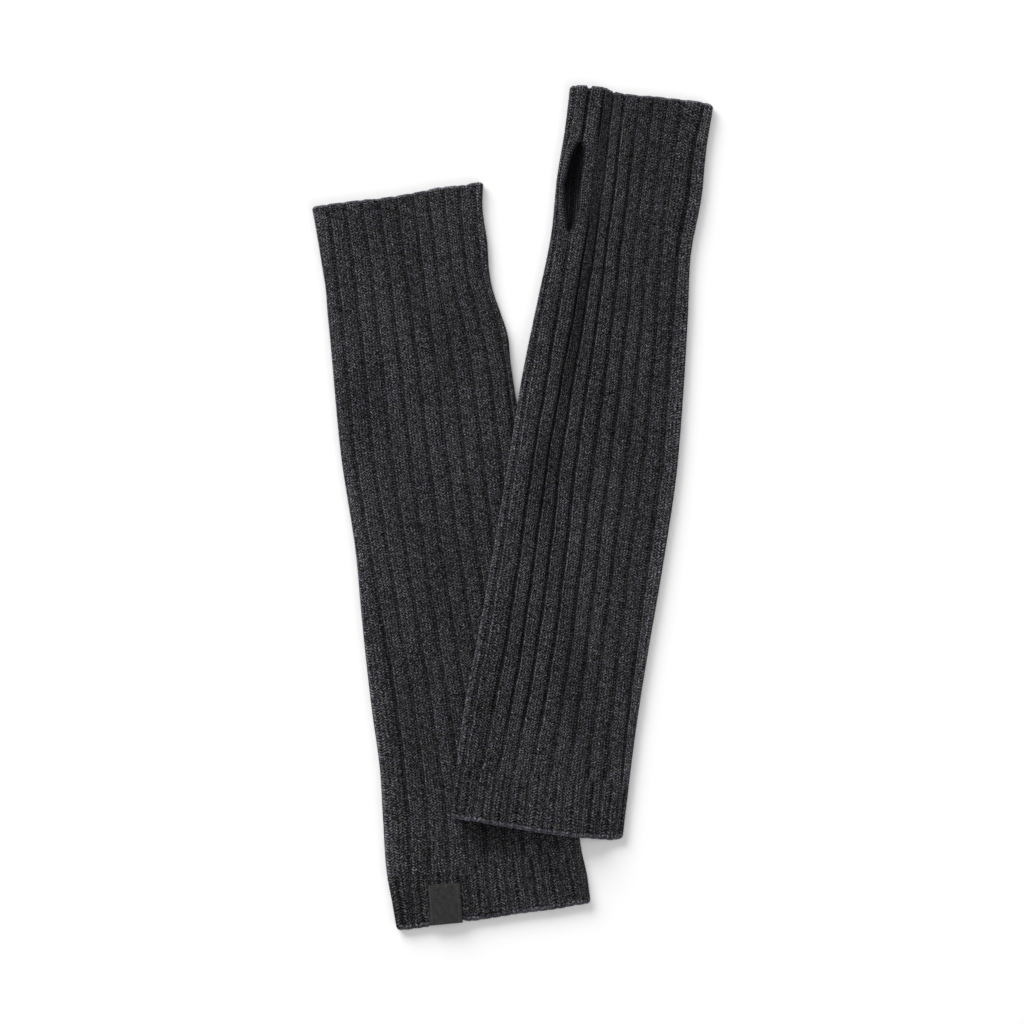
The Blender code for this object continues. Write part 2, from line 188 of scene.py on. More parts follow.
UNDER = Warmer(
    length=393 * MM,
    elbow=(-9.4 * MM, -221.3 * MM),
    lean=7.6,
    places=(0.15, 1, 6, 10, 10.6),
    sections=(
        # station, left edge, groove 1, groove 6, groove 10, right edge (mm)
        (0, -53.0, -43.8, 9.2, 49.6, 52.7),
        (16, -53.7, -43.1, 9.4, 48.4, 52.6),
        (28, -54.3, -42.5, 9.6, 47.5, 51.5),
        (60, -52.5, -39.5, 10.2, 46.2, 51.2),
        (85, -50.7, -38.7, 9.2, 45.6, 50.8),
        (120, -50.7, -38.2, 8.0, 45.0, 50.3),
        (170, -49.5, -40.0, 6.8, 44.3, 49.7),
        (200, -48.2, -41.0, 6.2, 44.0, 49.4),
        (260, -49.0, -42.6, 6.6, 44.6, 48.8),
        (295, -47.7, -41.0, 7.2, 44.3, 48.4),
        (310, -47.0, -40.4, 7.0, 43.2, 48.8),
        (322, -46.5, -40.0, 6.8, 41.8, 46.5),
        (334, -46.1, -39.6, 6.9, 39.6, 43.9),
        (346, -45.4, -39.2, 7.0, 38.0, 43.4),
        (358, -45.6, -39.2, 7.0, 38.5, 44.3),
        (380, -46.3, -39.3, 6.8, 39.7, 44.4),
        (393, -46.9, -39.4, 6.6, 40.4, 46.6),
    ),
    # across, shift towards the hand end (mm)
    elbow_hem=(
        (-53, -2.0), (-48, -1.7), (-43, -1.1), (-36, -0.85), (-33, 0.5), (-17, 0.5), (-14, -0.7),
        (-9, -0.85), (-3, -0.75), (5, -0.5), (12, -0.3), (20, -0.35), (30, -0.5), (38, -0.4),
        (44, -0.2), (52, -1.2),
    ),
    hand_hem=(
        (-46, 1.1), (-41, 0.4), (-33, 0.0), (-17, -0.2), (-14, -0.6), (0, -0.5), (12, 0.1), (22, 1.0),
        (30, 0.8), (34, 0.9), (37, 0.4), (41, 1.9), (46, 2.1),
    ),
    mouth=((-50, 0.0), (50, 0.0)),
    depth=1.15 * MM,
    lead=((1, 0.06), (3, 0.03), (4, 0.0)),
    # grooves that are deeper or shallower over a stretch: place, from, to, extra depth
    grooves=(
        Groove(1, 55 * MM, 175 * MM, 0.5 * MM),
        Groove(10, 225 * MM, 315 * MM, 0.5 * MM),
    ),
    # place, half width in places, where it starts, is sunk in full and ends, and how far it is sunk
    creases=(
        Crease(10.3, 0.5, 205 * MM, 260 * MM, 335 * MM, 0.5 * MM),
        Crease(6.3, 1.1, 30 * MM, 41 * MM, 100 * MM, 0.45 * MM),
        Crease(4.95, 0.5, 29 * MM, 38 * MM, 100 * MM, 0.7 * MM),
    ),
    slit=Slit("back", 9.5, 1),
    seed=11,
)


def smooth_step(value):
    """Rise smoothly from 0 to 1 as value goes from 0 to 1."""
    value = np.clip(value, 0.0, 1.0)
    return value * value * (3 - 2 * value)


def from_least(least, share):
    """Rise from a least value to 1 as a share goes from 0 to 1."""
    return least + (1 - least) * share


def hump(value, centre, width):
    """1 at the centre, falling smoothly to nothing on either side of it."""
    return np.exp(-((value - centre) / width) ** 2)


def smooth_curve(knots, values, x):
    """A smooth curve through the points (knots, values), read at x."""
    slopes = np.gradient(values, knots)
    x = np.clip(x, knots[0], knots[-1])
    i = np.clip(np.searchsorted(knots, x, side="right") - 1, 0, len(knots) - 2)
    span = knots[i + 1] - knots[i]
    t = (x - knots[i]) / span
    return (
        (1 + 2 * t) * (1 - t) ** 2 * values[i]
        + t * (1 - t) ** 2 * span * slopes[i]
        + t * t * (3 - 2 * t) * values[i + 1]
        + t * t * (t - 1) * span * slopes[i + 1]
    )


def sections_at(warmer, stations):
    """The across distances of the warmer's named places, a column for each place."""
    table = np.array(warmer.sections) * MM
    return [smooth_curve(table[:, 0], table[:, i], stations) for i in range(1, table.shape[1])]


def to_world(warmer, across, station):
    lean = math.radians(warmer.lean)
    x = warmer.elbow[0] + across * math.cos(lean) - station * math.sin(lean)
    y = warmer.elbow[1] + across * math.sin(lean) + station * math.cos(lean)
    return x, y


def base_height(warmer, x, y):
    """Height of what the warmer lies on: the surface, or the under warmer."""
    if warmer is UNDER:
        return np.zeros_like(x)
    lean = math.radians(UNDER.lean)
    x, y = x - UNDER.elbow[0], y - UNDER.elbow[1]
    across = x * math.cos(lean) + y * math.sin(lean)
    station = y * math.cos(lean) - x * math.sin(lean)
    beyond_edge = across - sections_at(UNDER, station)[-1] - SLOPE_START
    return (LAID_HEIGHT + LAY_GAP) * smooth_step(1 - beyond_edge / SLOPE_WIDTH)


def rib_repeat(wale_steps, groove_steps):
    """The columns of one repeat, from the first knit wale to the purl wales.

    body and welt are a column's places in the body and in the welt, side is 0 on
    a wale's centre line and 1 at its edges, knit is 0 in the purl wales, and wale
    counts the wales.
    """
    columns = []
    for wale in (0, 1):
        body = GROOVE_HALF + wale * WALE_WIDTH
        welt = GROOVE_HALF / 2 + wale * (WALE_WIDTH + GROOVE_HALF)
        for step in range(wale_steps):
            part = step / wale_steps
            at_middle = wale == 1 and step == 0
            columns.append(Column(
                body + part * WALE_WIDTH,
                0.5 if at_middle else welt + part * WALE_WIDTH,
                abs(2 * part - 1), 1, wale + part,
            ))
    for step in range(groove_steps):
        part = step / groove_steps
        columns.append(Column(
            1 - GROOVE_HALF + 2 * GROOVE_HALF * part,
            1 - GROOVE_HALF / 2 + GROOVE_HALF * part,
            1, 1 if step == 0 else 0, 2 + part,
        ))
    return columns


def face_columns(warmer, face, detail):
    """All columns of a face, edge to edge."""
    pitch = (warmer.sections[0][-1] - warmer.sections[0][1]) * MM / (
        warmer.places[-1] - warmer.places[0]
    )
    if face == "front":
        spare = -FOLD_RADIUS * WRAP_ANGLE / pitch
    else:
        spare = FOLD_RADIUS * (1 - math.cos(WRAP_ANGLE + WRAP_GAP)) / pitch
    low, high = warmer.places[0] + spare, warmer.places[-1] - spare
    least = LEAST_SPACING / len(rib_repeat(*detail))
    columns = []
    for rib in range(math.floor(low) - 1, math.ceil(high) + 1):
        for column in rib_repeat(*detail):
            if low + least < rib + column.body < high - least:
                columns.append(column._replace(
                    body=rib + column.body, welt=rib + column.welt, wale=3 * rib + column.wale
                ))
    first = columns[0]._replace(body=low, welt=low, wale=columns[0].wale - 0.5)
    last = columns[-1]._replace(body=high, welt=high, wale=columns[-1].wale + 0.5)
    return [first, *columns, last]


def face_stations(warmer):
    """The rows of a face: two for each course, and closer ones at the hems."""
    half = COURSE / 2
    last = warmer.length - EDGE_ROWS[-1]
    count = round((last - EDGE_ROWS[-1]) / half)
    even = np.linspace(EDGE_ROWS[-1], last, count + 1)
    hem = list(EDGE_ROWS[:-1])
    return np.array(hem + list(even) + [warmer.length - row for row in reversed(hem)])


def slit_opening(warmer, stations):
    """How open the slit is at each station, from 0 to 1, on its inner and its outer side.

    It is a lens, blunter at the hand end.
    """
    start = warmer.length - SLIT_FROM_HAND_HEM - SLIT_LENGTH
    from_middle = np.clip((stations - start) / SLIT_LENGTH * 2 - 1, -1, 1)
    elbow_end, hand_end = SLIT_BLUNTNESS
    opening = np.sqrt(1 - np.abs(from_middle) ** np.where(from_middle > 0, hand_end, elbow_end))
    return opening, opening * (1 - SLIT_POINTING * np.abs(from_middle) ** POINTING_BEND)


def arc_from_edge(distance):
    """Length along the cloth from the fold line to a point seen at a distance from the edge."""
    near = np.clip(distance, 0, FOLD_RADIUS)
    turned = FOLD_RADIUS * np.arccos(1 - near / FOLD_RADIUS)
    return turned + np.maximum(distance - FOLD_RADIUS, 0)


def hem_wave(warmer, across, left, right, from_elbow, from_hand):
    """How far the waves and the rounded corners of the hems move each point."""
    middle, half = (left + right) / 2, (right - left) / 2
    corner = HEM_CORNER * np.abs(np.clip((across - middle) / half, -1, 1)) ** CORNER_POWER
    shift = np.zeros_like(across)
    for wave, distance, sign in ((warmer.elbow_hem, from_elbow, 1), (warmer.hand_hem, from_hand, -1)):
        places, shifts = (np.array(column) * MM for column in zip(*wave))
        here = np.interp(across, places, shifts) + sign * corner
        shift = shift + here * smooth_step(1 - distance / HEM_REACH)
    return shift


def rounded(distance, roll):
    """Thickness, as a share, of an edge that turns down over the length of its roll."""
    inside = np.clip(distance / roll, 0, 1)
    return np.maximum(np.sqrt(1 - (1 - inside) ** 2), EDGE_LEAST)


def knit_surface(warmer, face, columns, stations):
    """The outer and the inner side of a face, as arrays of points, its tone of painted shade and highlights,
    and its share of fuzz with painted sheen.
    """
    front = face == "front"
    body = np.array([column.body for column in columns])
    welt = np.array([column.welt for column in columns])
    side = np.array([column.side for column in columns])
    knit = np.array([column.knit for column in columns])
    station = stations[:, None]
    to_body = smooth_step((station - WELT_LENGTH + WELT_BLEND) / (2 * WELT_BLEND))
    place = welt + (body - welt) * to_body

    # Where each column is across the warmer
    opening, outer_opening = (
        share[:, None] * (warmer.slit.face == face) for share in slit_opening(warmer, stations)
    )
    slit_start = warmer.length - SLIT_FROM_HAND_HEM - SLIT_LENGTH
    beyond_slit = np.maximum(slit_start - station, station - slit_start - SLIT_LENGTH)
    from_slit = body - warmer.slit.place
    if warmer.slit.face == face:
        pinch = SLIT_PINCH * smooth_step(1 - beyond_slit / PINCH_REACH)
        place = place - from_slit * pinch * (np.abs(from_slit) < LIP_COLUMNS)
    sections = np.array(sections_at(warmer, stations)).T
    across = np.array([np.interp(row, warmer.places, knots) for row, knots in zip(place, sections)])
    left, right = sections[:, :1], sections[:, -1:]
    slit_line = np.array([
        np.interp(warmer.slit.place, warmer.places, knots) for knots in sections
    ])[:, None]
    fold_side = warmer.slit.fold_side
    slit_edge = right if fold_side > 0 else left
    outer_bulge = fold_side * SLIT_OUTER_BULGE * outer_opening
    inner_bulge = -fold_side * SLIT_INNER_BULGE * opening
    outer_push = outer_bulge * (slit_edge - across) / (slit_edge - slit_line)
    inner_push = inner_bulge * np.clip(1 - np.abs(across - slit_line) / SLIT_REACH, 0, 1)
    across = across + np.where(from_slit * fold_side > 0, outer_push, inner_push)
    wander = sum(share * np.sin(station / length + turn * place) for length, turn, share in WANDER_WAVES)
    from_fold = np.minimum(across - left, right - across)
    across = across + WANDER * wander * smooth_step(from_fold / WANDER_INSET)

    # Where it is round the tube
    on_left = across < (left + right) / 2
    distance = np.where(on_left, across - left, right - across)
    arc = arc_from_edge(distance)
    if front:
        pitch = (right - left) / (warmer.places[-1] - warmer.places[0])
        beyond = np.maximum(warmer.places[0] - place, place - warmer.places[-1])
        arc = np.where(beyond > 0, -beyond * pitch, arc)
        arc[:, [0, -1]] = -FOLD_RADIUS * WRAP_ANGLE
    else:
        arc = -arc
        arc[:, [0, -1]] = -FOLD_RADIUS * (WRAP_ANGLE + WRAP_GAP)
    angle = np.clip(arc / FOLD_RADIUS, -math.pi / 2, math.pi / 2)
    beyond_fold = np.maximum(np.abs(arc) - FOLD_RADIUS * math.pi / 2, 0)

    # The ribs. The back lies flat, so its grooves are even, but its hems are gathered as the front's are
    in_rib = place % 1
    in_rib = in_rib + np.interp(place, *zip(*warmer.lead)) * np.interp(in_rib, *zip(*LEAD_FORM))
    form_places, form_heights, form_shades = zip(*RIB_FORM)
    sunk = 1 - np.interp(in_rib, form_places, form_heights)
    depth = np.full_like(place, warmer.depth)
    for groove in warmer.grooves:
        near = np.interp(np.abs(place - groove.place), GROOVE_NEAR, (1, 0))
        along = smooth_step((station - groove.start) / GROOVE_FADE) * smooth_step(
            (groove.end - station) / GROOVE_FADE
        )
        depth = depth + groove.extra * near * along
    gathered = depth * sunk
    depth = depth if front else warmer.depth
    body_valley = depth * sunk
    from_welt_groove = np.abs(2 * place - np.round(2 * place)) / 2
    welt_sunk = np.clip(1 - from_welt_groove / WELT_GROOVE, 0, 1) ** 2
    valley = WELT_DEPTH * welt_sunk * (1 - to_body) + body_valley * to_body
    rise = (RIB_RISE if front else 0.0) - valley
    # Painted shade in the grooves, more where a groove is deeper, and in the welt's grooves.
    shade = np.interp(in_rib, form_places, form_shades) * (
        GROOVE_SHADE + DEEP_SHADE * (depth - warmer.depth) / MM
    )
    # A painted highlight on each rib's left edge.
    shade = shade - CREST_HIGHLIGHT * hump(in_rib, CREST, CREST_WIDTH)
    tone = (1 - shade) * to_body + (WELT_TONE - WELT_SHADE * welt_sunk) * (1 - to_body)
    for crease in warmer.creases if front else ():
        beyond = np.abs(place - crease.place) - crease.half_width / 2
        along = smooth_step((station - crease.start) / (crease.full - crease.start)) * smooth_step(
            (crease.end - station) / GROOVE_FADE
        )
        drop = crease.drop * smooth_step(1 - beyond / crease.half_width) * along
        rise = rise - drop
        # Painted shade where the crease is sunk.
        tone = tone * (1 - CREASE_SHADE * drop / MM)

    # The stitches
    chance = np.random.default_rng(warmer.seed)
    from_elbow, from_hand = station, warmer.length - station
    from_hem = np.minimum(from_elbow, from_hand)
    hem_fade = smooth_step((from_hem - EDGE_ROWS[-2]) / STITCH_FADE)
    along_slit = np.clip(1 - beyond_slit / SELVEDGE_END, 0, 1) * (warmer.slit.face == face)
    from_lip = np.abs(across - slit_line - np.where(from_slit * fold_side > 0, outer_bulge, inner_bulge))
    selvedge = smooth_step(1 + SELVEDGE_FULL - from_lip / SELVEDGE) * along_slit
    plump = np.sin(math.pi * side) * knit
    ridge = np.where(np.arange(len(stations)) % 2 == 0, 1.0, -1.0)[:, None]
    arm_rise = np.where(knit > 0, ARM_RISE * side, PURL_RISE) * hem_fade * (1 - SELVEDGE_TURN * selvedge)
    relief = np.where(knit > 0, ARM_RELIEF * from_least(ARM_FLAT, plump), PURL_RELIEF)
    relief = ridge * relief * (1 + SELVEDGE_PLUMP * selvedge)
    relief = relief - CENTRE_DIP * (1 - plump) * knit * (1 - SELVEDGE_FILL * selvedge)
    relief = relief + chance.normal(0, TENSION_RISE, place.shape)
    relief = relief * from_least(STITCH_LEAST, hem_fade)
    shift = arm_rise + chance.normal(0, TENSION_SHIFT, place.shape) * hem_fade
    bead = HEM_BEAD * hump(from_hem, BEAD_PLACE, BEAD_WIDTH)
    # Painted highlight along the bound-off edges, stronger and weaker in patches, and a weaker one a little
    # further in.
    rim = hump(from_hem, RIM_PLACE, RIM_WIDTH) + np.zeros_like(tone)
    knots = np.arange(-2, 2 * HEMS_APART + 2, PATCH_WIDTH)
    patches = np.interp(
        place + HEMS_APART * (from_elbow < from_hand), knots,
        chance.uniform(1 - HEM_PATCHES, 1 + HEM_PATCHES, knots.size),
    )
    tone = tone * (1 - rim) + (1 + HEM_HIGHLIGHT * patches) * rim
    tone = tone * (1 + HEM_INNER_HIGHLIGHT * hump(from_hem, 0, HEM_INNER_HIGHLIGHT_REACH) * (1 - rim))
    # A painted highlight along the side folds.
    fold_highlight_mask = hump(np.maximum(distance, 0), 0, FOLD_HIGHLIGHT_REACH) * front
    tone = tone * (1 + FOLD_HIGHLIGHT * fold_highlight_mask * to_body)
    fuzz = HEM_FUZZ_SHEEN * rim * patches

    # The edges
    thick = rounded(from_hem, HEM_ROLL)
    if warmer.slit.face == face:
        lip = rounded(from_lip, SLIT_ROLL)
        shade_reach = np.where(from_slit * fold_side > 0, OUTER_SHADE_REACH, LIP_SHADE_REACH)
        # Painted shade towards the slit's edges.
        lip_shade = LIP_SHADE * smooth_step(1 - from_lip / shade_reach)
        tone = tone * (1 - lip_shade * smooth_step(1 - beyond_slit / SHADE_END))
        thick = thick * (1 - (1 - lip) * smooth_step(1 - beyond_slit / ROLL_END))
    inward = np.where(from_elbow < from_hand, 1, -1)
    scallop = HEM_SCALLOP * valley / warmer.depth + HEM_NOTCH * np.maximum(gathered - warmer.depth * sunk, 0)
    shift = shift + scallop * inward * smooth_step(1 - from_hem / SCALLOP_REACH)

    upward = np.sin(angle)
    topside = (1 + upward) / 2
    if front:
        outer_radius = FOLD_RADIUS + (rise + bead) * np.maximum(upward, 0) + relief * topside
    else:
        outer_radius = FOLD_RADIUS - (rise + bead) * upward + relief - BACK_LIFT
    if warmer.slit.face == face == "front":
        outer_radius = outer_radius + SLIT_LIP * opening * smooth_step(1 + LIP_CREST - from_lip / LIP_REACH)
    outer_radius = FOLD_INNER + np.maximum(outer_radius - FOLD_INNER, LEAST_WALL) * thick
    sides = []
    inset = HEM_INSET * inward * smooth_step(1 - from_hem / INSET_REACH)
    mouth_places, lifts = (np.array(column) * MM for column in zip(*warmer.mouth))
    for radius, moved in ((outer_radius, shift), (np.full_like(outer_radius, FOLD_INNER), inset)):
        from_edge = FOLD_RADIUS - radius * np.cos(angle) + beyond_fold
        here = np.where(on_left, left + from_edge, right - from_edge)
        along = station + moved + hem_wave(warmer, here, left, right, from_elbow, from_hand)
        x, y = to_world(warmer, here, along)
        z = base_height(warmer, x, y) + MID_HEIGHT + radius * upward
        lift = np.interp(here, mouth_places, lifts) * smooth_step(1 - from_elbow / MOUTH_REACH)
        z = np.maximum(z, base_height(warmer, x, y)) + lift * from_least(LOWER_LIFT, topside)
        sides.append(np.stack([x, y, z], axis=-1))
    return (*sides, tone, fuzz)


def boundary_chains(verts, column_count, row_count):
    """The four sides of a grid, each as a list of its verts."""
    rows = [verts[row * column_count:(row + 1) * column_count] for row in range(row_count)]
    return rows[0], rows[-1], [row[0] for row in rows], [row[-1] for row in rows]


def chain_edges(mesh, verts):
    return [mesh.edges.get(pair) for pair in zip(verts, verts[1:])]


def every(count, step, keep=()):
    """Indices from 0 to count - 1 in steps, with both ends and some others kept."""
    return sorted({*range(0, count, step), count - 1, *keep})


def make_face(name, warmer, face, detail, material):
    """A face of the tube: a fine outer grid, a coarse inner one, and the rim between."""
    columns, stations = face_columns(warmer, face, detail), face_stations(warmer)
    outer, inner, tone, fuzz = knit_surface(warmer, face, columns, stations)
    lips, slit_rows = (), ()
    if warmer.slit.face == face:
        before = sum(column.body < warmer.slit.place for column in columns)
        lips = (before - 1, before)
        start = warmer.length - SLIT_FROM_HAND_HEM - SLIT_LENGTH
        slit_rows = tuple(np.searchsorted(stations, (start, start + SLIT_LENGTH)))
    below_slit = (warmer.length - SLIT_FROM_HAND_HEM - stations) / SLIT_LENGTH
    # Painted shade on the inner side, seen through the slit.
    inside = np.interp(below_slit, INSIDE_SHADE_PLACES, INSIDE_SHADE_TONES)[:, None] * np.ones_like(tone)
    picks = [
        (range(len(stations)), range(len(columns)), outer, tone, fuzz),
        (
            every(len(stations), INNER_STEP, slit_rows), every(len(columns), INNER_STEP, lips),
            inner, inside, 0 * fuzz,
        ),
    ]
    mesh = bmesh.new()
    layers, spots, looks = [], [], []
    for rows, places, points, tones, fuzzes in picks:
        verts = bmesh.ops.create_grid(
            mesh, x_segments=len(places) - 1, y_segments=len(rows) - 1, size=1
        )["verts"]
        for vert, (row, column) in zip(verts, ((r, c) for r in rows for c in places)):
            vert.co = points[row, column]
            spots.append((row, column))
            looks.append((tones[row, column], fuzzes[row, column]))
        layers.append((verts, rows, places))
    mesh.verts.index_update()
    if lips:
        holes = [cut_slit(mesh, *layer, lips, slit_rows) for layer in layers]
        bmesh.ops.bridge_loops(mesh, edges=holes[0] + holes[1])
    for outer_chain, inner_chain in zip(*(
        boundary_chains(verts, len(places), len(rows)) for verts, rows, places in layers
    )):
        bmesh.ops.bridge_loops(
            mesh, edges=chain_edges(mesh, outer_chain) + chain_edges(mesh, inner_chain)
        )
    bmesh.ops.recalc_face_normals(mesh, faces=mesh.faces[:])
    data = bpy.data.meshes.new(name)
    mesh.to_mesh(data)
    mesh.free()
    rows, picked = np.array(spots).T
    wales = np.array([column.wale for column in columns])[picked]
    courses = rows / 2
    courses[len(columns) * len(stations):] = 0    # the inner side gets no painted shade between courses
    stitches = np.stack([wales, courses], axis=-1)
    corners = np.empty(len(data.loops), dtype=np.int32)
    data.loops.foreach_get("vertex_index", corners)
    layer = data.uv_layers.new(name="stitches")
    layer.data.foreach_set("uv", stitches[corners].astype(np.float32).ravel())
    # tone carries painted shade and highlights, fuzz the share of painted sheen
    for look, values in zip(("tone", "fuzz"), zip(*looks)):
        data.attributes.new(look, "FLOAT", "POINT").data.foreach_set("value", values)
    data.shade_smooth()
    data.materials.append(material)
    thing = bpy.data.objects.new(name, data)
    bpy.context.scene.collection.objects.link(thing)
    return thing


def cut_slit(mesh, verts, rows, places, lips, slit_rows):
    """Take out the cells between the slit's lips and return the edges round the hole."""
    rows, places = list(rows), list(places)
    low, high = (rows.index(row) for row in slit_rows)
    left, right = (places.index(column) for column in lips)

    def column_verts(column):
        return [verts[row * len(places) + column] for row in range(low, high + 1)]

    left_verts, right_verts = column_verts(left), column_verts(right)
    cells = []
    for a, b, c in zip(left_verts, left_verts[1:], right_verts):
        edge = mesh.edges.get((a, b))
        cells += [face for face in edge.link_faces if c in face.verts]
    bmesh.ops.delete(mesh, geom=cells, context="FACES")
    ring = left_verts + right_verts[::-1]
    return chain_edges(mesh, ring + ring[:1])


def link(tree, source, target):
    tree.links.new(source, target)


def add_node(tree, kind, inputs=(), **settings):
    """A shader node with its settings; inputs pairs a socket with a value or another socket."""
    made = tree.nodes.new(kind)
    for key, value in settings.items():
        setattr(made, key, value)
    for socket, value in inputs:
        if isinstance(value, bpy.types.NodeSocket):
            tree.links.new(value, made.inputs[socket])
        else:
            made.inputs[socket].default_value = value
    return made


def make_melange_group():
    """Yarn spun from black, grey and a few white fibres: its colour, with painted shade between the courses
    and the arms, scaled by Tone's painted shade and highlights, and its fuzz's painted pale sheen.

    Stitches counts wales and courses, whole numbers being the crowns of the
    courses, so that fibres run along each stitch's arms.
    """
    tree = bpy.data.node_groups.new("melange yarn", "ShaderNodeTree")
    for name, kind, way in (
        ("Stitches", "NodeSocketVector", "INPUT"),
        ("Place", "NodeSocketVector", "INPUT"),
        ("Tone", "NodeSocketFloat", "INPUT"),
        ("Fuzz", "NodeSocketFloat", "INPUT"),
        ("Color", "NodeSocketColor", "OUTPUT"),
        ("Height", "NodeSocketFloat", "OUTPUT"),
    ):
        tree.interface.new_socket(name=name, in_out=way, socket_type=kind)
    given = tree.nodes.new("NodeGroupInput").outputs
    result = tree.nodes.new("NodeGroupOutput").inputs

    def maths(operation, *values):
        return add_node(
            tree, "ShaderNodeMath", enumerate(values), operation=operation
        ).outputs[0]

    def flecks(vector, size):
        """Small patches, each with its own random numbers from 0 to 1."""
        spread = add_node(tree, "ShaderNodeVectorMath", [(0, vector), (1, size)], operation="DIVIDE")
        cells = add_node(tree, "ShaderNodeTexVoronoi", [("Vector", spread.outputs[0]), ("Scale", 1.0)])
        parts = add_node(tree, "ShaderNodeSeparateColor", [("Color", cells.outputs["Color"])])
        return parts.outputs

    def drift(vector, size):
        spread = add_node(tree, "ShaderNodeVectorMath", [(0, vector), (1, size)], operation="DIVIDE")
        return add_node(tree, "ShaderNodeTexNoise", [
            ("Vector", spread.outputs[0]), ("Scale", 1.0), ("Detail", 2.0),
        ]).outputs["Fac"]

    fibres = flecks(given["Stitches"], FIBRE_SIZE)
    grains = flecks(given["Place"], GRAIN_SIZE)
    mixed = maths("MULTIPLY", fibres["Red"], FIBRE_SHARE)
    mixed = maths("MULTIPLY_ADD", grains["Red"], GRAIN_SHARE, mixed)
    mixed = maths("MULTIPLY_ADD", drift(given["Stitches"], STITCH_DRIFT), STITCH_DRIFT_SHARE, mixed)
    mixed = maths("MULTIPLY_ADD", drift(given["Place"], CLOTH_DRIFT), CLOTH_DRIFT_SHARE, mixed)
    mixed = maths("SUBTRACT", mixed, (STITCH_DRIFT_SHARE + CLOTH_DRIFT_SHARE) / 2)
    grey = add_node(tree, "ShaderNodeValToRGB", [("Fac", mixed)])
    stops = grey.color_ramp.elements
    while len(stops) < len(YARN_GREYS):
        stops.new(0.5)
    for stop, (position, level) in zip(stops, YARN_GREYS):
        stop.position = position
        stop.color = (level, level, level, 1)
    grey = grey.outputs["Color"]

    counted = add_node(tree, "ShaderNodeSeparateXYZ", [("Vector", given["Stitches"])]).outputs

    def wave(count, start):
        """1 where the count and the start add up to a whole number, and 0 half-way between."""
        turned = maths("MULTIPLY_ADD", count, 2 * math.pi, 2 * math.pi * start)
        return maths("MULTIPLY_ADD", maths("COSINE", turned), 0.5, 0.5)

    # Painted shade between the courses and between the arms, then Tone's painted shade and highlights.
    crown = wave(counted["Y"], 0.0)
    lit = maths("MULTIPLY_ADD", crown, COURSE_GAP_SHADE, 1 - COURSE_GAP_SHADE)
    arms = maths("MULTIPLY", counted["X"], 2)
    lit = maths("MULTIPLY", lit, maths("MULTIPLY_ADD", wave(arms, 0.5), ARM_GAP_SHADE, 1 - ARM_GAP_SHADE))
    grey = maths("MULTIPLY", maths("MULTIPLY", grey, lit), given["Tone"])
    tint = add_node(tree, "ShaderNodeMix", [
        ("Factor", fibres["Green"]), ("A", VIOLET), ("B", OLIVE),
    ], data_type="VECTOR")
    colour = add_node(
        tree, "ShaderNodeVectorMath", [(0, tint.outputs["Result"]), ("Scale", grey)], operation="SCALE"
    )
    # Painted pale sheen where fuzz stands.
    uneven = maths("MULTIPLY_ADD", fibres["Blue"], FUZZ_SPREAD, 1 - FUZZ_SPREAD / 2)
    standing = maths("MULTIPLY", given["Fuzz"], uneven)
    fuzzed = add_node(tree, "ShaderNodeMix", [
        ("Factor", standing), ("A", colour.outputs["Vector"]), ("B", FUZZ_SHEEN_COLOUR),
    ], data_type="RGBA")
    link(tree, fuzzed.outputs["Result"], result["Color"])
    height = maths("MULTIPLY", fibres["Red"], FIBRE_HEIGHT)
    height = maths("MULTIPLY_ADD", grains["Red"], GRAIN_HEIGHT, height)
    link(tree, maths("MULTIPLY_ADD", crown, CROWN_HEIGHT, height), result["Height"])
    return tree


FIBRE_SIZE = (0.16, 0.30, 1)           # in wales and courses
GRAIN_SIZE = (0.3 * MM, 0.36 * MM, 0.3 * MM)
STITCH_DRIFT = (0.9, 1.2, 1)           # from stitch to stitch, in wales and courses
CLOTH_DRIFT = (30 * MM, 60 * MM, 30 * MM)
FIBRE_SHARE, GRAIN_SHARE = 0.45, 0.55  # in the mix that picks the yarn's grey
STITCH_DRIFT_SHARE, CLOTH_DRIFT_SHARE = 0.15, 0.2
YARN_GREYS = ((0.34, 0.005), (0.47, 0.036), (0.60, 0.102), (0.76, 0.194), (0.95, 0.337))
COURSE_GAP_SHADE = 0.85                      # painted shade between the courses
ARM_GAP_SHADE = 0.55                         # and painted shade between the arms of the stitches
VIOLET = (0.97, 0.87, 1.28)
OLIVE = (1.01, 1.05, 0.86)
# painted pale sheen of the standing fibres
FUZZ_SHEEN_COLOUR = (0.22, 0.23, 0.29, 1)
FUZZ_SPREAD = 0.8                      # from the least hidden fibre to the most
FUZZ_HEIGHT = 0.25 * MM
FIBRE_HEIGHT, GRAIN_HEIGHT, CROWN_HEIGHT = 0.4, 0.3, 0.6
melange = make_melange_group()


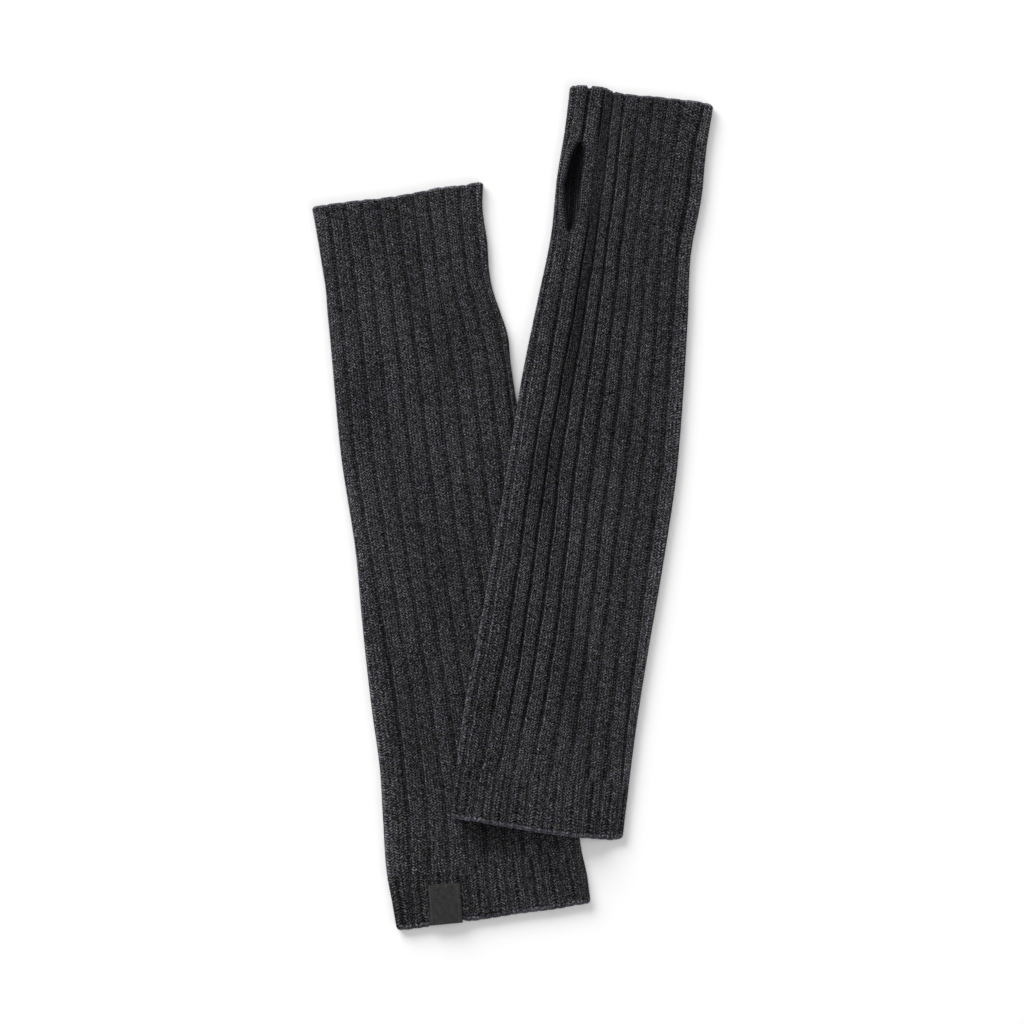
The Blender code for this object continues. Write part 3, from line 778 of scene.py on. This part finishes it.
def make_wool(name):
    """Matt knitted wool, with a soft pale edge: a little sheen and the painted sheen of its fuzz."""
    material = bpy.data.materials.new(name)
    material.use_nodes = True
    tree = material.node_tree
    shader = tree.nodes["Principled BSDF"]
    shader.inputs["Roughness"].default_value = 0.92
    shader.inputs["Specular IOR Level"].default_value = 0.06
    shader.inputs["Sheen Weight"].default_value = 0.06
    shader.inputs["Sheen Roughness"].default_value = 0.4
    shader.inputs["Sheen Tint"].default_value = (0.72, 0.76, 0.9, 1)
    stitches = add_node(tree, "ShaderNodeUVMap", uv_map="stitches")
    place = add_node(tree, "ShaderNodeTexCoord")
    tone = add_node(tree, "ShaderNodeAttribute", attribute_name="tone")
    fuzz = add_node(tree, "ShaderNodeAttribute", attribute_name="fuzz")
    yarn = add_node(tree, "ShaderNodeGroup", node_tree=melange)
    link(tree, stitches.outputs["UV"], yarn.inputs["Stitches"])
    link(tree, place.outputs["Object"], yarn.inputs["Place"])
    link(tree, tone.outputs["Fac"], yarn.inputs["Tone"])
    link(tree, fuzz.outputs["Fac"], yarn.inputs["Fuzz"])
    link(tree, yarn.outputs["Color"], shader.inputs["Base Color"])
    bump = add_node(tree, "ShaderNodeBump", [
        ("Height", yarn.outputs["Height"]), ("Distance", FUZZ_HEIGHT), ("Strength", 0.8),
    ])
    link(tree, bump.outputs["Normal"], shader.inputs["Normal"])
    return material


FRONT_DETAIL = (5, 6)    # columns in each knit wale and in the purl wales between ribs
BACK_DETAIL = (2, 2)


def make_warmer(name, warmer, detail):
    wool = make_wool(f"{name} wool")
    made = []
    for face in ("front", "back"):
        piece = make_face(f"{name}_{face}_knit", warmer, face, detail[face], wool)
        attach(piece, "root")
        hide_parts(f"{name}_{face}_panel")
        made.append(piece)
    return made


under_front, _ = make_warmer(
    "under_warmer", UNDER, {"front": FRONT_DETAIL, "back": BACK_DETAIL}
)

# ---------------------------------------------------------------- over warmer
# The same tube for the other hand, laid across the under warmer with its thumb
# slit up. Its left ribs are drawn together, so the grooves there are deep and
# narrow, and one rib is sunk in a pleat at the hand end.
OVER = Warmer(
    length=400 * MM,
    elbow=(15.2 * MM, -174.3 * MM),
    lean=-7.78,
    places=(-0.3, 1, 2, 3, 4, 8, 9, 9.9),
    sections=(
        # station, left edge, grooves 1, 2, 3, 4, 8 and 9, right edge (mm)
        (0, -48.4, -37.2, -27.0, -18.5, -8.6, 31.0, 40.5, 44.8),
        (28, -49.0, -36.4, -27.2, -18.8, -9.3, 30.0, 40.2, 44.35),
        (60, -49.1, -34.4, -25.2, -17.2, -8.1, 29.2, 38.4, 44.05),
        (95, -47.2, -32.4, -23.9, -15.7, -6.9, 28.2, 37.7, 44.65),
        (150, -45.0, -31.5, -23.5, -15.6, -7.2, 27.2, 37.0, 46.5),
        (200, -43.4, -31.3, -23.3, -16.6, -8.4, 27.5, 37.2, 47.05),
        (240, -42.5, -29.9, -21.8, -15.5, -7.8, 26.5, 34.9, 45.0),
        (285, -39.5, -28.9, -19.6, -14.1, -7.2, 23.8, 32.3, 41.6),
        (318, -37.3, -28.0, -18.9, -13.5, -7.6, 21.4, 30.8, 38.7),
        (350, -38.2, -29.8, -19.3, -13.7, -7.7, 21.2, 31.5, 40.2),
        (375, -37.6, -28.7, -19.7, -14.2, -8.5, 21.3, 31.6, 39.3),
        (400, -38.0, -28.1, -19.4, -14.6, -9.0, 22.0, 34.0, 39.9),
    ),
    elbow_hem=(
        (-46, -1.4), (-35, 0.0), (-17, -0.7), (0, -1.4), (20, -1.4), (27, -0.9), (33, -0.9), (39, -1.1),
        (44, -0.6),
    ),
    hand_hem=(
        (-38, 1.4), (-19, 1.6), (-16.5, 0.4), (-10, -0.4), (2, -0.2), (6, 0.4), (12, 0.5), (20, 0.6),
        (38, 1.4),
    ),
    mouth=(
        (-45, 0.6), (-41, 3.0), (-37, 5.8), (-30, 9.4), (-22, 8.2), (-12, 5.0), (0, 3.5), (12, 3.0),
        (24, 2.0), (34, 0.7), (41, 0.0),
    ),
    depth=1.25 * MM,
    lead=((4, 0.09), (5.2, -0.04), (8, -0.05), (9, 0.0)),
    grooves=(
        Groove(1, 50 * MM, 292 * MM, 0.75 * MM),
        Groove(1, 352 * MM, 430 * MM, 1.0 * MM),
        Groove(2, 44 * MM, 336 * MM, 0.95 * MM),
        Groove(2, 322 * MM, 384 * MM, -1.1 * MM),
        Groove(2, 362 * MM, 398 * MM, 1.0 * MM),
        Groove(3, 44 * MM, 345 * MM, 0.8 * MM),
        Groove(3, 345 * MM, 430 * MM, 0.4 * MM),
        Groove(4, 46 * MM, 385 * MM, 0.65 * MM),
        Groove(5, 60 * MM, 378 * MM, 0.5 * MM),
        Groove(5, 370 * MM, 430 * MM, -0.6 * MM),
        Groove(6, 60 * MM, 300 * MM, 0.4 * MM),
        Groove(6, 300 * MM, 430 * MM, -0.2 * MM),
        Groove(7, 90 * MM, 300 * MM, 0.15 * MM),
        Groove(7, 290 * MM, 430 * MM, -0.3 * MM),
        Groove(8, 300 * MM, 430 * MM, -0.25 * MM),
        Groove(9, 20 * MM, 110 * MM, 0.5 * MM),
        Groove(9, 300 * MM, 400 * MM, 0.5 * MM),
    ),
    creases=(Crease(2.5, 0.5, 150 * MM, 270 * MM, 430 * MM, 0.9 * MM),),
    slit=Slit("front", 1, -1),
    seed=12,
)
make_warmer(
    "over_warmer", OVER, {"front": FRONT_DETAIL, "back": BACK_DETAIL}
)

# ---------------------------------------------------------------- label
# A woven satin tab, folded over the elbow hem of the under warmer and sewn
# down. It is left bare.
LABEL_WIDTH = 17.4 * MM
LABEL_LENGTH = 21.0 * MM
LABEL_THICKNESS = 0.8 * MM
LABEL_CENTRE = -24.5 * MM
LABEL_LEAN = 1.3 * MM      # how far left of its end its fold lies
LABEL_SLANT = 0.55 * MM    # and how far its end's left corner is past the middle of the end
LABEL_FOLD = 0.4 * MM      # how far inside the hem's line its fold starts
LABEL_TURN = 3 * MM        # length turned down over the hem
LABEL_PILLOW = 0.25 * MM   # how much thicker it is in its middle
PILLOW_POWER = 6           # the higher, the flatter the middle
LABEL_CORNER = 0.9 * MM
LABEL_CORNER_POWER = 12    # the higher, the squarer the corner
LABEL_COLUMNS = 36
LABEL_ROWS = 44


def make_label(name, material):
    mesh = bmesh.new()
    bmesh.ops.create_grid(mesh, x_segments=LABEL_COLUMNS, y_segments=LABEL_ROWS, size=1)
    made = bmesh.ops.extrude_face_region(mesh, geom=mesh.faces[:], use_keep_orig=True)
    second = {item for item in made["geom"] if isinstance(item, bmesh.types.BMVert)}
    top = LAID_HEIGHT + LAY_GAP
    flat = []
    for vert in mesh.verts:
        lift = LABEL_THICKNESS if vert in second else 0.0
        sideways = vert.co.x
        along = (vert.co.y + 1) / 2 * (LABEL_LENGTH + LABEL_TURN) - LABEL_TURN
        raised = max(along / LABEL_LENGTH, 0)
        corner = LABEL_CORNER * abs(sideways * raised) ** LABEL_CORNER_POWER
        width = LABEL_WIDTH * sideways / 2
        across = LABEL_CENTRE + width - LABEL_LEAN * (1 - raised)
        slant = LABEL_SLANT * sideways * (1 + raised) / 2
        pillow = LABEL_PILLOW * (1 - sideways ** PILLOW_POWER)
        if along > 0:
            station, height = LABEL_FOLD + along - corner - lift * (1 - raised), top + lift + pillow
        else:
            station = LABEL_FOLD - lift
            height = top + lift + pillow + along
        x, y = to_world(UNDER, across, station - slant)
        vert.co = x, y, height
        flat.append((width, along))
    bmesh.ops.recalc_face_normals(mesh, faces=mesh.faces[:])
    data = bpy.data.meshes.new(name)
    mesh.to_mesh(data)
    mesh.free()
    corners = np.empty(len(data.loops), dtype=np.int32)
    data.loops.foreach_get("vertex_index", corners)
    layer = data.uv_layers.new(name="weave")
    layer.data.foreach_set("uv", (np.array(flat) / MM)[corners].astype(np.float32).ravel())
    data.shade_smooth()
    data.materials.append(material)
    thing = bpy.data.objects.new(name, data)
    bpy.context.scene.collection.objects.link(thing)
    return thing


TWILL_PITCH = 0.9          # mm between the weave's diagonal lines
TWILL_SHARE = 0.3          # in the mix of the satin's two colours, the rest being its threads
THREAD_CONTRAST = 2.6
WEAVE_HEIGHT = 0.08 * MM
SATIN_DARK = (0.006, 0.007, 0.004, 1)
SATIN_LIGHT = (0.047, 0.045, 0.051, 1)
THREAD = (0.060, 0.064, 0.046, 1)
EDGE_LINES = (0.9, 1.7)    # mm from the left and the right side to their woven edge lines
EDGE_LINE_HALF = 0.35      # mm
SEAM_INSET = 0.4           # mm from the label's end to its seam
SEAM_HALF = 0.6            # mm
SEAM_STITCH = 2.4          # mm from one stitch of the seam to the next
SEAM_GAP = 0.2             # share of it that is a gap, at each end of a stitch


def make_satin(name):
    """Near-black satin with a fine twill, an edge line at each side and a seam at its end."""
    material = bpy.data.materials.new(name)
    material.use_nodes = True
    tree = material.node_tree
    shader = tree.nodes["Principled BSDF"]
    shader.inputs["Specular IOR Level"].default_value = 0.12
    shader.inputs["Roughness"].default_value = 0.75

    def maths(operation, *values):
        return add_node(tree, "ShaderNodeMath", enumerate(values), operation=operation).outputs[0]

    def near(value, centre, reach):
        """1 at the centre, falling to 0 at the reach on either side."""
        away = maths("ABSOLUTE", maths("SUBTRACT", value, centre))
        return maths("MAXIMUM", maths("SUBTRACT", 1.0, maths("DIVIDE", away, reach)), 0.0)

    weave = add_node(tree, "ShaderNodeUVMap", uv_map="weave").outputs["UV"]
    across, along, _ = add_node(tree, "ShaderNodeSeparateXYZ", [("Vector", weave)]).outputs
    turns = maths("MULTIPLY", maths("ADD", across, along), 2 * math.pi / TWILL_PITCH)
    twill = maths("MULTIPLY_ADD", maths("SINE", turns), 0.5, 0.5)
    cloudy = add_node(tree, "ShaderNodeTexNoise", [
        ("Vector", weave), ("Scale", 0.4), ("Detail", 4.0), ("Roughness", 0.9),
    ]).outputs["Fac"]
    threads = add_node(tree, "ShaderNodeClamp", [
        ("Value", maths("MULTIPLY_ADD", maths("SUBTRACT", cloudy, 0.5), THREAD_CONTRAST, 0.5)),
    ]).outputs["Result"]
    satin = add_node(tree, "ShaderNodeMix", [
        ("Factor", maths("MULTIPLY_ADD", twill, TWILL_SHARE, maths("MULTIPLY", threads, 1 - TWILL_SHARE))),
        ("A", SATIN_DARK), ("B", SATIN_LIGHT),
    ], data_type="RGBA")
    half = LABEL_WIDTH / MM / 2
    left_line = near(across, EDGE_LINES[0] - half, EDGE_LINE_HALF)
    right_line = near(across, half - EDGE_LINES[1], EDGE_LINE_HALF)
    edge_lines = maths("ADD", left_line, right_line)
    seam = near(maths("ADD", along, threads), LABEL_LENGTH / MM - SEAM_INSET, SEAM_HALF)
    in_stitch = maths("PINGPONG", across, SEAM_STITCH / 2)
    stitched = maths("GREATER_THAN", in_stitch, SEAM_STITCH * SEAM_GAP)
    marks = maths("MULTIPLY", maths("MAXIMUM", edge_lines, maths("MULTIPLY", seam, stitched)), threads)
    finished = add_node(tree, "ShaderNodeMix", [
        ("Factor", marks), ("A", satin.outputs["Result"]), ("B", THREAD),
    ], data_type="RGBA")
    link(tree, finished.outputs["Result"], shader.inputs["Base Color"])
    bump = add_node(tree, "ShaderNodeBump", [
        ("Height", maths("MULTIPLY_ADD", twill, 0.5, threads)), ("Distance", WEAVE_HEIGHT),
    ])
    link(tree, bump.outputs["Normal"], shader.inputs["Normal"])
    return material


label = make_label("hem_label_tab", make_satin("label satin"))
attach(label, "root")
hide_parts("hem_label")

# ---------------------------------------------------------------- floor and light
# A white table, a large soft light from the hand end's left, a weak one from the
# other side, a softer one from straight above, and a little light from all round.
FLOOR_SIZE = 3.0
TABLE_WHITE = (0.9, 0.9, 0.9, 1)
WORLD_LIGHT = 0.185
floor_mesh = bmesh.new()
bmesh.ops.create_grid(floor_mesh, x_segments=1, y_segments=1, size=FLOOR_SIZE / 2)
floor_data = bpy.data.meshes.new("floor")
floor_mesh.to_mesh(floor_data)
floor_mesh.free()
floor = bpy.data.objects.new("floor", floor_data)
bpy.context.scene.collection.objects.link(floor)
white = bpy.data.materials.new("white table")
white.use_nodes = True
paint = white.node_tree.nodes["Principled BSDF"]
paint.inputs["Base Color"].default_value = TABLE_WHITE
paint.inputs["Roughness"].default_value = 0.9
floor_data.materials.append(white)


def add_softbox(name, direction, elevation, distance, size, power):
    """A soft light that faces the middle of the pair. direction is degrees from +X, power watts."""
    turn, tilt = math.radians(direction), math.radians(elevation)
    data = bpy.data.lights.new(name, "AREA")
    data.shape = "RECTANGLE"
    data.size, data.size_y = size
    data.energy = power
    lamp = bpy.data.objects.new(name, data)
    lamp.location = (
        distance * math.cos(tilt) * math.cos(turn),
        distance * math.cos(tilt) * math.sin(turn),
        distance * math.sin(tilt),
    )
    lamp.rotation_euler = (math.pi / 2 - tilt, 0, turn + math.pi / 2)
    bpy.context.scene.collection.objects.link(lamp)
    return lamp


add_softbox("key softbox", direction=124, elevation=29, distance=14.0, size=(9.3, 7.9), power=2410)
add_softbox("fill softbox", direction=308, elevation=40, distance=14.0, size=(9.3, 7.9), power=450)
add_softbox("overhead softbox", direction=90, elevation=88, distance=4.0, size=(2.2, 2.2), power=50)
world = bpy.data.worlds.new("studio")
world.use_nodes = True
world.node_tree.nodes["Background"].inputs["Color"].default_value = (1, 1, 1, 1)
world.node_tree.nodes["Background"].inputs["Strength"].default_value = WORLD_LIGHT
bpy.context.scene.world = world
bpy.context.scene.view_settings.view_transform = "Standard"
